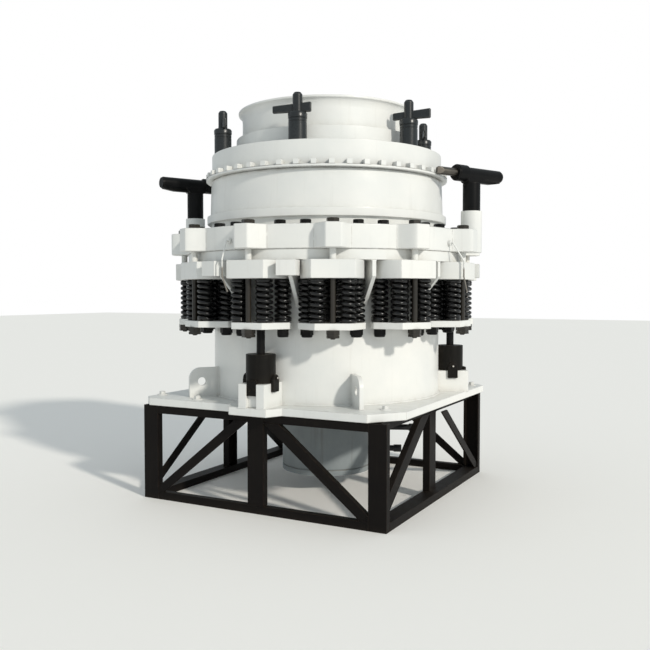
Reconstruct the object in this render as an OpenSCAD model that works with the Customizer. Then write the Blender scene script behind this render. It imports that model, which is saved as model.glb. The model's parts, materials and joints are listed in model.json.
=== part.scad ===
// Spring cone crusher on a welded channel-steel stand.
// Millimetres, +Z up, origin on the crusher's axis at floor level.
// Angles round the axis are counted from the front (-Y) towards +X.

/* [Stand] */
// Height of the stand under the base plate
stand_h = 674; // [500:1:900]
// How far the stand's centre lies off the crusher's axis along X
stand_shift_x = -30; // [-60:1:60]
// How far the stand's sides stay inside the base plate
stand_inset_x = 27; // [0:1:60]
// How far the stand's front and back stay inside the base plate
stand_inset_y = 10; // [0:1:60]
// Width of the channel steel
channel_w = 126; // [80:1:200]
// Depth of the channel steel
channel_d = 53; // [40:1:100]
// Wall of the channel steel
channel_t = 9; // [5:1:20]
// Height of the rails at the top and bottom
rail_h = 56; // [40:1:100]
// How far the side faces' posts and braces stand inwards
side_recess = 57; // [0:1:80]
// Width of the front and back faces' channel braces
brace_w = 66; // [40:1:110]
// Width of the side faces' channel braces
side_brace_w = 88; // [50:1:110]
// Width of the flat braces
bar_w = 60; // [40:1:80]
// Thickness of the flat braces
bar_t = 14; // [8:1:30]
// How far the side faces' flat braces stand inwards
bar_recess = 10; // [0:1:40]

/* [Base plate] */
// How far the base plate reaches past the shell along X
plate_over_x = 130; // [80:1:200]
// How far the base plate reaches past the shell along Y
plate_over_y = 120; // [80:1:200]
// Thickness of the base plate
plate_t = 54; // [30:1:80]
// Cut at the plate's front right corner along X
corner_cut_x = 171; // [50:1:300]
// Cut at the plate's front right corner along Y
corner_cut_y = 226; // [50:1:300]
// Cut at the plate's other corners
small_cut = 70; // [20:1:150]
// Half width of the pad under the front jack
pad_half = 145; // [120:1:260]
// How far the pad reaches in front of the plate
pad_over = 112; // [60:1:150]

/* [Main frame] */
// Outer radius of the shell
shell_r = 850; // [700:1:1000]
// Wall of the shell
shell_t = 50; // [30:1:80]
// Height of the shell between the base plate and the flange
shell_h = 962; // [850:1:1100]
// Thickness of the main frame's top flange
flange_t = 70; // [40:1:90]
// How far the top flange stands out from the shell
flange_over = 190; // [150:1:230]
// Gap between the hub and the inside of the shell
hub_gap = 462; // [380:1:520]
// Height of the hub's bottom over the floor
hub_z = 138; // [80:1:300]
// Height of the arms that hold the hub
arm_h = 290; // [200:1:320]
// Half width of an arm
arm_half = 75; // [50:1:100]
// Reach of the upper oil pipe from the hub
oil_reach = 322; // [200:1:340]
// Reach of the lower oil pipe from the hub
drain_reach = 207; // [150:1:300]
// Thickness of the gusset ribs
rib_t = 28; // [15:1:40]
// Height of the ribs
rib_h = 305; // [250:1:360]

/* [Springs] */
// Number of spring groups round the frame
groups = 12; // [12:1:12]
// Height of the upper spring segments
seg_h = 120; // [80:1:150]
// How far the segments stand out past the flange
seg_over = 85; // [60:1:110]
// Gap between a segment's side and the rib beside it
seg_gap = 13; // [5:1:30]
// Half width of a segment's front face
seg_face = 142; // [100:1:160]
// Depth of a segment's front corner cuts
seg_cut = 125; // [80:1:150]
// Free height of the springs
spring_h = 285; // [220:1:340]
// Thickness of the lower spring plates
low_t = 44; // [20:1:60]
// Half width of a lower plate's front face
low_face = 117; // [90:1:140]
// Depth of a lower plate's front corner cuts
low_cut = 176; // [120:1:190]
// Outer radius of a spring
spring_r = 58; // [40:1:60]
// Thickness of the spring wire
wire = 26; // [12:1:28]
// Coils in a spring
coils = 8; // [5:1:12]
// How far the side and rear springs stand off the shell
spring_off = 80; // [70:1:100]
// Radius of a spring bolt
bolt_r = 18; // [12:1:24]

/* [Adjusting ring and bowl] */
// Height of the adjusting ring
ring_h = 160; // [120:1:220]
// How far the ring's lobes stand out past the segments
lobe_over = 45; // [20:1:60]
// Half width of a lobe's front face
lobe_half = 43; // [30:1:60]
// How far the bowl's thread lies outside the shell's face
thread_over = 20; // [5:1:30]
// Wall of the bowl
bowl_wall = 70; // [50:1:90]
// Gap between the ring's top and the bowl's dust flange
skirt_gap = 63; // [45:1:90]
// Height of the bowl over its dust flange
bowl_h = 320; // [250:1:400]
// How far the toothed flange stands out from the thread
tooth_over = 37; // [25:1:45]
// Number of teeth
teeth = 48; // [36:1:60]
// Height of the cap over the bowl
cap_h = 184; // [120:1:240]
// Width of the ledge on the cap outside the step
cap_ledge = 182; // [160:1:220]
// Height of the step under the hopper
step_h = 127; // [80:1:180]
// Width of the ledge on the step
step_ledge = 46; // [20:1:70]
// Height of the hopper
hopper_h = 206; // [120:1:300]
// Wall of the hopper
hopper_t = 34; // [20:1:50]
// How far the hopper's lip stands out
lip = 30; // [15:1:40]

/* [Jacks and adjusters] */
// How far the clearing jacks' axes stand off the shell
jack_off = 106; // [102:1:120]
// Turn of the jacks from the spring groups' middles
jack_turn = 0.85; // [0:0.05:1.5]
// Radius of a jack's cylinder
jack_r = 99; // [70:1:100]
// Height of the saddles under the jacks
saddle_h = 157; // [100:1:200]
// Height of a jack's cylinder
jack_h = 190; // [150:1:260]
// Radius of a jack's rod
rod_r = 28; // [15:1:32]
// How far the adjusters' posts stand out from the ring
post_over = 42; // [35:1:60]
// Radius of an adjuster's post
post_r = 63; // [50:1:70]
// Angle of the right adjuster's post
post_angle = 102; // [100:1:108]
// Turn of an adjuster from the tangent, inwards
adjuster_turn = 37.7; // [35:0.1:40]
// Radius of the boss at the front of an adjuster's cylinder
head_r = 59; // [50:1:65]
// Radius of an adjuster's cylinder
barrel_r = 47; // [40:1:55]
// Radius of an adjuster's ram
ram_r = 29; // [15:1:32]

/* [Hook bolts] */
// How far a hook bolt stands over its sleeve
hook_over = 133; // [80:1:160]
// Length of a wedge on its thin side of the bolt
wedge_back = 174; // [80:1:190]
// Length of a wedge on its thick side of the bolt
wedge_front = 95; // [80:1:140]
// Height of a wedge at its thick end
wedge_h = 68; // [40:1:90]
// Thickness of a wedge
wedge_t = 25; // [15:1:40]

/* [Fits] */
// Radial gap of a sliding or turning fit
fit = 0.05; // [0.02:0.01:0.1]
// Radial gap round the jack rods in the frame
rod_gap = 8; // [5:1:12]
// Gap kept by pieces that move past one another
clearance = 6; // [5:1:10]

/* [Hidden] */
$fn = 96;
white = [0.86, 0.86, 0.83];
hub_grey = [0.66, 0.67, 0.67];
black = [0.06, 0.06, 0.065];
spring_black = [0.04, 0.04, 0.045];
stand_black = [0.1, 0.085, 0.075];
steel = [0.42, 0.39, 0.35];
dark_steel = [0.2, 0.2, 0.2];

plate_w = 2 * (shell_r + plate_over_x);
plate_d = 2 * (shell_r + plate_over_y);
stand_w = plate_w - 2 * stand_inset_x;
stand_d = plate_d - 2 * stand_inset_y;
stand_y = stand_d / 2;
rail_top_z = stand_h - rail_h;
plate_top = stand_h + plate_t;
pad_y = plate_d / 2 + pad_over;

flange_z = plate_top + shell_h;
flange_top = flange_z + flange_t;
flange_r = shell_r + flange_over;
bore_r = shell_r - shell_t;
hub_r = bore_r - hub_gap;
neck_r = hub_r - 78;
shaft_z = plate_top + 262;

seg_r = flange_r + seg_over;
seg_back = shell_r + 20;
low_r = seg_r - 19;
seg_z = flange_z - seg_h;
low_z = seg_z - spring_h;
nut_z = low_z - low_t;
bolt_ring_r = seg_r - 45;
front_ring_r = bolt_ring_r - 35;
side_ring_r = shell_r + spring_off;
group_step = 360 / groups;
seg_half = (seg_back * sin(group_step / 2) - rib_t / 2 - seg_gap) / cos(group_step / 2);
low_half = seg_half + 17;
block_r = seg_r + 25;
pipe_r = seg_r + 28;

ring_r = flange_r + 10;
lobe_r = seg_r + lobe_over;
ring_top = flange_top + ring_h;
thread_r = shell_r + thread_over;
bowl_bore = thread_r - bowl_wall;
skirt_z = ring_top + skirt_gap;
bowl_top = skirt_z + bowl_h;
tooth_r = thread_r + tooth_over;
tooth_plate_t = 15;
tooth_h = 34;
cap_r = thread_r - 8;
cap_top = bowl_top + cap_h;
hook_r = cap_r - 72;
step_r = cap_r - cap_ledge;
hopper_r = step_r - step_ledge;
feed_r = hopper_r - hopper_t;
throat_r = feed_r - 40;
hopper_z = cap_top + step_h;
total_h = hopper_z + hopper_h;
sleeve_top = cap_top + step_h + 59;
climb = 26;

mantle_r = bowl_bore - 150;
mantle_z = flange_top - 100;
mantle_top = bowl_top - 73;
liner_z = flange_top + climb + clearance;
plate_r = mantle_r - 320;

jack_ring_r = shell_r + jack_off;
jack_z = plate_top + saddle_h;
jack_angles = [0, 120, 240];
saddle_r = seg_r - 45;
post_ring_r = ring_r + post_over;
sleeve_r = post_r + 12.5;
sleeve_z = ring_top + 148;
ram_z = bowl_top + 32;
adjuster_angles = [post_angle, post_angle + 180];
hook_first = 13.8;
hook_turns = [0, -66, -17, 0, 0, 0];
hook_slides = [0, 60, 0, 0, 0, 0];
lug_angles = [-40, 40, 140, 220];

// Places a child at an angle round the axis and a radius, with -Y outwards.
module at(angle, radius) {
    rotate([0, 0, angle])
        translate([0, -radius, 0])
            children();
}

// A box given by its two corners.
module block(a, b) {
    translate(a)
        cube(b - a);
}

// A vertical rod or hole between two heights.
module rod(r, z0, z1) {
    translate([0, 0, z0])
        cylinder(r = r, h = z1 - z0);
}

// A hexagon nut or head between two heights, by its width across corners.
module hex(corners, z0, z1) {
    translate([0, 0, z0])
        cylinder(d = corners, h = z1 - z0, $fn = 6);
}

// A round ring between two heights.
module ring(r_out, r_in, z0, z1) {
    difference() {
        rod(r_out, z0, z1);
        rod(r_in, z0 - 1, z1 + 1);
    }
}

// A thin pipe from one point to another, with a round bead at its end.
module pipe(r, a, b) {
    d = b - a;
    translate(a)
        rotate([0, acos(d.z / norm(d)), atan2(d.y, d.x)])
            cylinder(r = r, h = norm(d));
    translate(b)
        sphere(r = r + 1);
}

// ---------------------------------------------------------------- stand

// An upright channel, its web outwards at -Y and its middle at the origin of X.
module channel_post(z0) {
    difference() {
        block([-channel_w / 2, 0, z0], [channel_w / 2, channel_d, stand_h]);
        block([-channel_w / 2 + channel_t, channel_t, z0 - 1],
              [channel_w / 2 - channel_t, channel_d + 1, stand_h + 1]);
    }
}

module stand_corner_posts() {
    color(stand_black)
        for (sx = [0, 1], sy = [0, 1])
            translate([stand_shift_x, 0, 0])
                mirror([sx, 0, 0])
                    mirror([0, sy, 0])
                        translate([(stand_w - channel_w) / 2, -stand_y, 0])
                            channel_post(0);
}

module stand_middle_posts() {
    color(stand_black)
        translate([stand_shift_x, 0, 0])
            for (turn = [0, 180]) {
                rotate([0, 0, turn])
                    translate([0, -stand_y, 0])
                        channel_post(rail_h);
                rotate([0, 0, turn + 90])
                    translate([0, -stand_w / 2 + side_recess, 0])
                        channel_post(rail_h);
            }
}

module stand_top_rails() {
    inner_x = stand_w / 2 - channel_w;
    inner_y = stand_y - channel_d;
    side_x = stand_w / 2 - side_recess;
    color(stand_black)
        translate([stand_shift_x, 0, 0])
            for (sx = [-1, 1], sy = [-1, 1])
                scale([sx, sy, 1]) {
                    block([channel_w / 2, -stand_y, rail_top_z],
                          [inner_x, -stand_y + channel_d, stand_h]);
                    block([side_x - channel_d, -inner_y, rail_top_z],
                          [side_x, -channel_w / 2, stand_h]);
                }
}

module stand_bottom_rails() {
    inner_x = stand_w / 2 - channel_w;
    inner_y = stand_y - channel_d;
    side_x = stand_w / 2 - side_recess;
    color(stand_black)
        translate([stand_shift_x, 0, 0])
            for (side = [-1, 1])
                scale([side, side, 1]) {
                    block([-inner_x, -stand_y, 0], [inner_x, -stand_y + channel_d, rail_h]);
                    block([side_x - channel_d, -inner_y, 0], [stand_w / 2, inner_y, rail_h]);
                }
}

// One brace of a face, from the middle post's top to the foot of a corner post.
module brace(run, w, deep) {
    rise = rail_top_z - rail_h;
    wide = w * norm([run, rise]) / rise;
    tall = w * norm([run, rise]) / run;
    rotate([90, 0, 0])
        translate([0, 0, -deep])
            linear_extrude(deep)
                polygon([
                    [channel_w / 2, rail_top_z], [run - wide / 2, rail_h], [run, rail_h],
                    [run, rail_h + tall / 2], [channel_w / 2 + wide, rail_top_z]
                ]);
}

// Channel braces end at the front right and back left posts, flat ones at the others.
module stand_braces() {
    deep = channel_d - channel_t;
    face_run = stand_w / 2 - channel_w;
    side_run = stand_y - channel_d;
    color(stand_black)
        translate([stand_shift_x, 0, 0])
            for (turn = [0, 180])
                rotate([0, 0, turn]) {
                    translate([0, -stand_y, 0]) {
                        brace(face_run, brace_w, deep);
                        mirror([1, 0, 0])
                            brace(face_run, bar_w, bar_t);
                    }
                    rotate([0, 0, 90]) {
                        translate([0, -stand_w / 2 + bar_recess, 0])
                            brace(side_run, bar_w, bar_t);
                        translate([0, -stand_w / 2 + side_recess, 0])
                            mirror([1, 0, 0])
                                brace(side_run, side_brace_w, deep);
                    }
                }
}

// ----------------------------------------------------------- base plate

module base_plate() {
    x = plate_w / 2;
    y = plate_d / 2;
    c = small_cut;
    pad_foot = pad_half + pad_over / 2;
    color(white)
        difference() {
            translate([0, 0, stand_h])
                linear_extrude(plate_t)
                    translate([stand_shift_x / 2, 0])
                        polygon([
                            [-x, -y + c], [-x + c, -y], [-pad_foot, -y], [-pad_half, -pad_y],
                            [pad_half, -pad_y], [pad_foot, -y], [x - corner_cut_x, -y],
                            [x, -y + corner_cut_y], [x, y - c], [x - c, y], [-x + c, y],
                            [-x, y - c]
                        ]);
            rod(bore_r, stand_h - 1, plate_top + 1);
        }
}

module plate_bolts() {
    color(white)
        for (p = [[-0.482, -0.412], [-0.284, -0.46], [0.412, -0.37], [0.45, 0.438], [-0.43, 0.43]])
            translate([p.x * plate_w, p.y * plate_d, 0]) {
                rod(37, plate_top, plate_top + 5);
                hex(44, plate_top + 5, plate_top + 27);
            }
}

// ----------------------------------------------------------- main frame

module frame_shell() {
    color(white)
        ring(shell_r, bore_r, plate_top, flange_z);
}

module frame_hub() {
    groove = 8;
    color(hub_grey)
        rotate_extrude()
            polygon([
                [0, hub_z], [hub_r, hub_z], [hub_r, hub_z + 38], [hub_r - groove, hub_z + 38],
                [hub_r - groove, hub_z + 38 + groove], [hub_r, hub_z + 38 + groove],
                [hub_r, shaft_z + 160], [neck_r, shaft_z + 330], [neck_r, mantle_z],
                [0, mantle_z]
            ]);
}

module frame_arms() {
    color(white)
        intersection() {
            for (a = [45 : 90 : 315])
                at(a, 0)
                    block([-arm_half, -shell_r, plate_top + 42],
                          [arm_half, 0, plate_top + 42 + arm_h]);
            ring(bore_r, hub_r, plate_top, flange_z);
        }
}

module frame_flange() {
    color(white)
        difference() {
            ring(flange_r, shell_r - 15, flange_z, flange_top);
            for (a = jack_angles)
                at(a + jack_turn, jack_ring_r)
                    rod(rod_r + rod_gap, flange_z - 1, flange_top + 1);
        }
}

module frame_ribs() {
    color(white)
        for (i = [0 : groups - 1])
            at((i + 0.5) * group_step, 0)
                rotate([90, 0, -90])
                    translate([0, 0, -rib_t / 2])
                        linear_extrude(rib_t)
                            polygon([
                                [shell_r, flange_z - rib_h], [flange_r, flange_z - 105],
                                [flange_r, flange_z], [shell_r, flange_z]
                            ]);
}

module frame_blocks() {
    color(white)
        for (a = jack_angles, side = [-0.5, 0.5])
            at(a + side * group_step, 0)
                block([-65, -block_r, flange_z - 103], [65, -flange_r, flange_z - 3]);
}

// The outline of a spring segment or plate from above, with its front corners cut.
module segment_plan(front, face, half, cut) {
    polygon([
        [-seg_half, -seg_back], [-half, -front + cut], [-face, -front],
        [face, -front], [half, -front + cut], [seg_half, -seg_back]
    ]);
}

// The hole for a jack's rod through the pieces of the groups that have a jack.
module jack_hole(i, z0, z1) {
    if (len([for (a = jack_angles) if (a == i * group_step) a]) > 0)
        at(jack_turn, jack_ring_r)
            rod(rod_r + rod_gap, z0, z1);
}

module upper_spring_segments() {
    color(white)
        for (i = [0 : groups - 1])
            at(i * group_step, 0)
                difference() {
                    translate([0, 0, seg_z])
                        linear_extrude(seg_h)
                            segment_plan(seg_r, seg_face, seg_half, seg_cut);
                    translate([0, -bolt_ring_r, 0])
                        rod(bolt_r + fit, seg_z - 1, flange_z + 1);
                    jack_hole(i, seg_z - 1, flange_z + 1);
                }
}

module bolt_sleeves() {
    color(white)
        for (i = [0 : groups - 1])
            at(i * group_step, bolt_ring_r)
                ring(bolt_r + 4, bolt_r + fit, flange_z, flange_top);
}

module lifting_lugs() {
    t = 30;
    eye = 83;
    reach = 134;
    color(white)
        for (a = lug_angles)
            at(a, 0)
                difference() {
                    rotate([90, 0, -90])
                        translate([shell_r, plate_top, -t / 2])
                            linear_extrude(t) {
                                square([reach + eye, 130]);
                                square([reach, 130 + eye - 1]);
                                translate([reach, 129])
                                    circle(r = eye);
                            }
                    translate([-t, -shell_r - reach + 9, plate_top + 112])
                        rotate([0, 90, 0])
                            cylinder(r = 30, h = 2 * t);
                }
}

module jack_saddles() {
    color(white)
        for (a = jack_angles)
            at(a + jack_turn, 0)
                difference() {
                    block([-jack_r, -saddle_r, plate_top], [jack_r, -bore_r, jack_z]);
                    rod(shell_r, plate_top - 1, jack_z + 1);
                    block([-38, -saddle_r - 1, plate_top - 1],
                          [38, -jack_ring_r - jack_r, jack_z + 1]);
                }
}

module jack_cylinders() {
    top = jack_z + jack_h;
    color(black)
        for (a = jack_angles)
            at(a + jack_turn, jack_ring_r)
                difference() {
                    rod(jack_r, jack_z, top);
                    rod(rod_r + fit, jack_z + 15, top + 1);
                }
}

// A strap holds each jack down at the front and on both sides.
module jack_straps() {
    t = 20;
    color(black)
        for (a = jack_angles)
            at(a + jack_turn, jack_ring_r) {
                block([-37, -jack_r - t, jack_z - 78], [37, -jack_r, jack_z + 23]);
                for (x = [-17, 17])
                    translate([x, -jack_r - t, jack_z - 40])
                        rotate([90, 0, 0])
                            cylinder(r = 9, h = 6);
                for (turn = [-90, 90])
                    rotate([0, 0, turn]) {
                        block([-37, -jack_r - t, jack_z - 55], [37, -jack_r, jack_z + 24]);
                        translate([0, -jack_r, jack_z + 24])
                            rotate([90, 0, 0])
                                cylinder(r = 35, h = t);
                        translate([0, -jack_r - t, jack_z + 36])
                            rotate([90, 0, 0])
                                cylinder(r = 13, h = 10);
                    }
            }
}

module oil_pipes() {
    color(dark_steel)
        for (p = [[stand_h - 220, hub_r + oil_reach], [stand_h - 383, hub_r + drain_reach]])
            at(112, 0)
                difference() {
                    translate([0, 0, p[0]])
                        rotate([90, 0, 0]) {
                            cylinder(r = 22, h = p[1]);
                            translate([0, 0, p[1] - 30])
                                cylinder(r = 28, h = 60);
                        }
                    rod(hub_r, 0, stand_h);
                }
}

module countershaft_box() {
    end = seg_r - 15;
    half = 105;
    color(white)
        at(180, 0)
            difference() {
                union() {
                    block([-150, -end, shaft_z - half], [150, -bore_r, shaft_z + half]);
                    translate([0, -end, shaft_z])
                        rotate([90, 0, 0])
                            cylinder(r = half, h = 24);
                }
                rod(shell_r, shaft_z - half - 1, shaft_z + half + 1);
                translate([0, -shell_r - 30, shaft_z])
                    rotate([90, 0, 0])
                        cylinder(r = 45, h = seg_r);
            }
}

module countershaft() {
    color(steel)
        at(180, 0)
            translate([0, -shell_r - 30, shaft_z])
                rotate([90, 0, 0])
                    cylinder(r = 45, h = lobe_r - shell_r - 30);
}

module mantle() {
    color(dark_steel)
        rotate_extrude()
            polygon([
                [0, mantle_z], [mantle_r - 40, mantle_z], [mantle_r, mantle_z + 70],
                [mantle_r, mantle_z + 130], [plate_r, mantle_top], [0, mantle_top]
            ]);
}

module feed_plate() {
    r = plate_r - 30;
    color(dark_steel)
        rotate_extrude()
            polygon([
                [0, mantle_top], [r, mantle_top], [r, mantle_top + 60],
                [r - 30, mantle_top + 60], [r - 70, mantle_top + 32], [0, mantle_top + 32]
            ]);
}

// -------------------------------------------------------------- springs

// One coil spring as a grooved tube with a ridge for each coil.
module spring() {
    pitch = spring_h / coils;
    groove = 8;
    color(spring_black)
        rotate_extrude()
            polygon(concat(
                [[spring_r - wire, seg_z], [spring_r - wire, low_z]],
                [for (i = [0 : coils - 1], k = [0, 0.3, 0.7])
                    [spring_r - (k == 0 ? groove : 0), low_z + (i + k) * pitch]],
                [[spring_r - groove, seg_z]]
            ));
}

module front_springs() {
    for (i = [0 : groups - 1], side = [-5.3, 5.3])
        at(i * group_step + side, front_ring_r)
            spring();
}

module side_springs() {
    for (i = [0 : groups - 1], side = [-10, 10])
        at(i * group_step + side, side_ring_r)
            spring();
}

// Groups with a jack have no rear spring: the jack's rod passes there.
module rear_springs() {
    for (i = [0 : groups - 1])
        if (len([for (a = jack_angles) if (a == i * group_step) a]) == 0)
            at(i * group_step, side_ring_r)
                spring();
}

// ------------------------------------------------------- adjusting ring

// One lobe from above: a flat face that runs into the ring in a double curve.
module lobe() {
    foot = 3 * lobe_half;
    reach = lobe_r - ring_r;
    n = 10;
    side = [for (i = [0 : n]) let (t = i / n)
        [lobe_half + (foot - lobe_half) * t, -lobe_r + (reach + 12) * t * t * (3 - 2 * t)]];
    polygon(concat(side, [for (i = [n : -1 : 0]) [-side[i].x, side[i].y]]));
}

module adjusting_ring() {
    color(white)
        difference() {
            translate([0, 0, flange_top])
                linear_extrude(ring_h) {
                    circle(r = ring_r);
                    for (i = [0 : groups - 1])
                        rotate(i * group_step)
                            lobe();
                }
            rod(thread_r + fit, flange_top - 1, ring_top + 1);
            for (i = [0 : groups - 1])
                at(i * group_step, bolt_ring_r)
                    rod(bolt_r, flange_top - 1, ring_top + 1);
            for (a = adjuster_angles)
                at(a, post_ring_r)
                    rod(sleeve_r, flange_top + 8, ring_top + 1);
        }
}

module spring_bolts() {
    color(black)
        for (i = [0 : groups - 1])
            at(i * group_step, bolt_ring_r) {
                rod(bolt_r, nut_z - 58, ring_top + 30);
                hex(86, ring_top, ring_top + 30);
            }
}

module ring_top_bolts() {
    color(black)
        for (i = [0 : groups - 1], side = [-10, 10])
            at(i * group_step + side, (thread_r + lobe_r) / 2 - 40)
                hex(77, ring_top, ring_top + 30);
}

module lower_spring_plates() {
    color(white)
        for (i = [0 : groups - 1])
            at(i * group_step, 0)
                difference() {
                    translate([0, 0, nut_z])
                        linear_extrude(low_t)
                            segment_plan(low_r, low_face, low_half, low_cut);
                    translate([0, -bolt_ring_r, 0])
                        rod(bolt_r, nut_z - 1, low_z + 1);
                    for (side = [-10, 10])
                        at(side, side_ring_r)
                            rod(16, nut_z - 1, low_z + 1);
                    jack_hole(i, nut_z - 1, low_z + 1);
                }
}

module lower_bolt_nuts() {
    color(black)
        for (i = [0 : groups - 1])
            at(i * group_step, bolt_ring_r)
                difference() {
                    union() {
                        hex(92, nut_z - 28, nut_z);
                        rod(38, nut_z - 32, nut_z - 28);
                        hex(90, nut_z - 50, nut_z - 32);
                    }
                    rod(bolt_r, nut_z - 60, nut_z + 1);
                }
}

module spring_guides() {
    color(black)
        for (i = [0 : groups - 1], side = [-10, 10])
            at(i * group_step + side, side_ring_r) {
                hex(86, nut_z - 38, nut_z);
                rod(37, nut_z - 54, nut_z - 38);
                rod(16, nut_z - 38, low_z + spring_h / 2);
            }
}

module jack_rods() {
    color(steel)
        for (a = jack_angles)
            at(a + jack_turn, jack_ring_r)
                rod(rod_r, jack_z + 20, flange_top);
}

module adjuster_sleeves() {
    color(white)
        for (a = adjuster_angles)
            at(a, post_ring_r)
                rod(sleeve_r, flange_top + 8, sleeve_z);
}

module adjuster_posts() {
    color(black)
        for (a = adjuster_angles)
            at(a, post_ring_r)
                rod(post_r, sleeve_z, ram_z - head_r - clearance);
}

// The frame of an adjuster's ram: X along the ram towards the teeth.
module ram_frame(angle) {
    at(angle, post_ring_r)
        rotate([0, 0, 180 - adjuster_turn])
            translate([0, 0, ram_z])
                children();
}

module along_x(r, x0, x1) {
    translate([x0, 0, 0])
        rotate([0, 90, 0])
            cylinder(r = r, h = x1 - x0);
}

// A plate on edge along the ram, drawn in X and Z.
module keel(half) {
    rotate([90, 0, 0])
        translate([0, 0, -half])
            linear_extrude(2 * half)
                children();
}

module adjuster_cylinders() {
    low = -head_r - clearance;
    color(black)
        for (a = adjuster_angles)
            ram_frame(a)
                difference() {
                    union() {
                        along_x(barrel_r, -282, 70);
                        along_x(barrel_r - 6, -294, -282);
                        along_x(head_r, 66, 160);
                        along_x(head_r - 6, 160, 171);
                        keel(40)
                            polygon([[-110, -20], [-60, low], [60, low], [110, -20]]);
                        keel(18)
                            polygon([
                                [-282, -20], [-282, -barrel_r], [-187, low + 4],
                                [-60, low + 4], [-60, -20]
                            ]);
                    }
                    along_x(ram_r + fit, -190, 172);
                }
}

// A grease pipe leans out from its fitting, hangs down and bends below the segments.
module grease_pipes() {
    z = flange_top + 57;
    out = pipe_r - ring_r;
    color(white)
        for (a = [-9.4 : 90 : 260.6])
            at(a, ring_r)
                difference() {
                    union() {
                        translate([0, 8, z])
                            rotate([90, 0, 0])
                                cylinder(r = 18, h = 26);
                        pipe(5, [0, -14, z], [0, -35, z]);
                        pipe(5, [0, -35, z], [27, -out, flange_z + 5]);
                        pipe(5, [27, -out, flange_z + 5], [27, -out, seg_z + 18]);
                        pipe(5, [27, -out, seg_z + 18], [73, -out, seg_z - 81]);
                    }
                    translate([0, ring_r, 0])
                        rod(ring_r, z - 30, z + 30);
                }
}

// ----------------------------------------------------------------- bowl

module bowl() {
    neck_z = flange_top + 46;
    color(white)
        rotate_extrude()
            polygon([
                [bowl_bore + fit, neck_z], [thread_r, neck_z], [thread_r, skirt_z],
                [thread_r + 30, skirt_z], [thread_r + 30, skirt_z + 57],
                [thread_r + 6, skirt_z + 57], [thread_r - 2, bowl_top - 22],
                [thread_r - 8, bowl_top - 7], [thread_r - 20, bowl_top],
                [bowl_bore + fit, bowl_top]
            ]);
}

module toothed_flange() {
    z = bowl_top + tooth_plate_t;
    color(white) {
        ring(tooth_r, throat_r, bowl_top, z);
        difference() {
            for (i = [0 : teeth - 1])
                at(i * 360 / teeth, 0)
                    block([-19, -tooth_r + 0.5, z - 1], [19, -cap_r + 5, z + tooth_h]);
            rod(cap_r, z - 2, z + tooth_h + 1);
        }
    }
}

module bowl_cap() {
    color(white)
        ring(cap_r, throat_r, bowl_top + tooth_plate_t, cap_top);
}

module hopper_step() {
    color(white)
        ring(step_r, feed_r, cap_top, hopper_z);
}

// The hopper's lip flares outwards in a curve.
module hopper() {
    flare = 58;
    rim = 17;
    color(white)
        rotate_extrude()
            polygon(concat(
                [[feed_r, total_h], [feed_r, hopper_z], [hopper_r, hopper_z]],
                [for (t = [0 : 10 : 90])
                    [hopper_r + lip * (1 - cos(t)), total_h - rim - flare * (1 - sin(t))]],
                [[hopper_r + lip, total_h]]
            ));
}

// Places a child at each hook bolt, with the turn and the slide of its wedge.
module at_hooks() {
    for (i = [0 : 5])
        at(hook_first + 60 * i, hook_r) {
            $turn = hook_turns[i];
            $slide = hook_slides[i];
            children();
        }
}

module hook_bolt_sleeves() {
    color(black)
        at_hooks()
            difference() {
                union() {
                    rod(62, cap_top, sleeve_top - 14);
                    rod(65, sleeve_top - 14, sleeve_top);
                }
                rod(33, cap_top - 1, sleeve_top + 1);
            }
}

// The wedge that is driven through a hook bolt, on edge over the sleeve.
module wedge_shape() {
    rotate([90, 0, $turn])
        translate([$slide, sleeve_top, -wedge_t / 2])
            linear_extrude(wedge_t)
                polygon([
                    [-wedge_back, 0], [wedge_front, 0], [wedge_front, wedge_h],
                    [-wedge_back, wedge_h - 18]
                ]);
}

module hook_bolts() {
    top = sleeve_top + hook_over;
    color(black)
        at_hooks()
            difference() {
                union() {
                    rod(33, cap_top, top - 16);
                    translate([0, 0, top - 16])
                        cylinder(r1 = 33, r2 = 22, h = 16);
                }
                wedge_shape();
            }
}

module hook_wedges() {
    color(dark_steel)
        at_hooks()
            wedge_shape();
}

module bowl_liner() {
    top = bowl_top - 5;
    color(dark_steel)
        rotate_extrude()
            polygon([
                [mantle_r + 50, liner_z], [mantle_r + 90, liner_z], [bowl_bore, liner_z + 69],
                [bowl_bore, top], [throat_r - 40, top]
            ]);
}

// ----------------------------------------------------------------- rams

module ram(angle) {
    tip = 350;
    color(steel)
        ram_frame(angle)
            intersection() {
                union() {
                    along_x(ram_r, -120, tip - 18);
                    translate([tip - 18, 0, 0])
                        rotate([0, 90, 0])
                            cylinder(r1 = ram_r, r2 = ram_r - 10, h = 18);
                }
                translate([0, 0, -ram_r - 1])
                    linear_extrude(2 * ram_r + 2)
                        polygon([
                            [-121, -ram_r - 1], [tip - 50, -ram_r - 1], [tip, -8], [tip, 8],
                            [tip - 50, ram_r + 1], [-121, ram_r + 1]
                        ]);
            }
}

module right_ram() {
    ram(post_angle);
}

module left_ram() {
    ram(post_angle + 180);
}

stand_corner_posts();
stand_middle_posts();
stand_top_rails();
stand_bottom_rails();
stand_braces();
base_plate();
plate_bolts();
frame_shell();
frame_hub();
frame_arms();
frame_flange();
frame_ribs();
frame_blocks();
upper_spring_segments();
bolt_sleeves();
lifting_lugs();
jack_saddles();
jack_cylinders();
jack_straps();
oil_pipes();
countershaft_box();
countershaft();
mantle();
feed_plate();
front_springs();
side_springs();
rear_springs();
adjusting_ring();
spring_bolts();
ring_top_bolts();
lower_spring_plates();
lower_bolt_nuts();
spring_guides();
jack_rods();
adjuster_sleeves();
adjuster_posts();
adjuster_cylinders();
grease_pipes();
bowl();
toothed_flange();
bowl_cap();
hopper_step();
hopper();
hook_bolt_sleeves();
hook_bolts();
hook_wedges();
bowl_liner();
right_ram();
left_ram();
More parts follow.
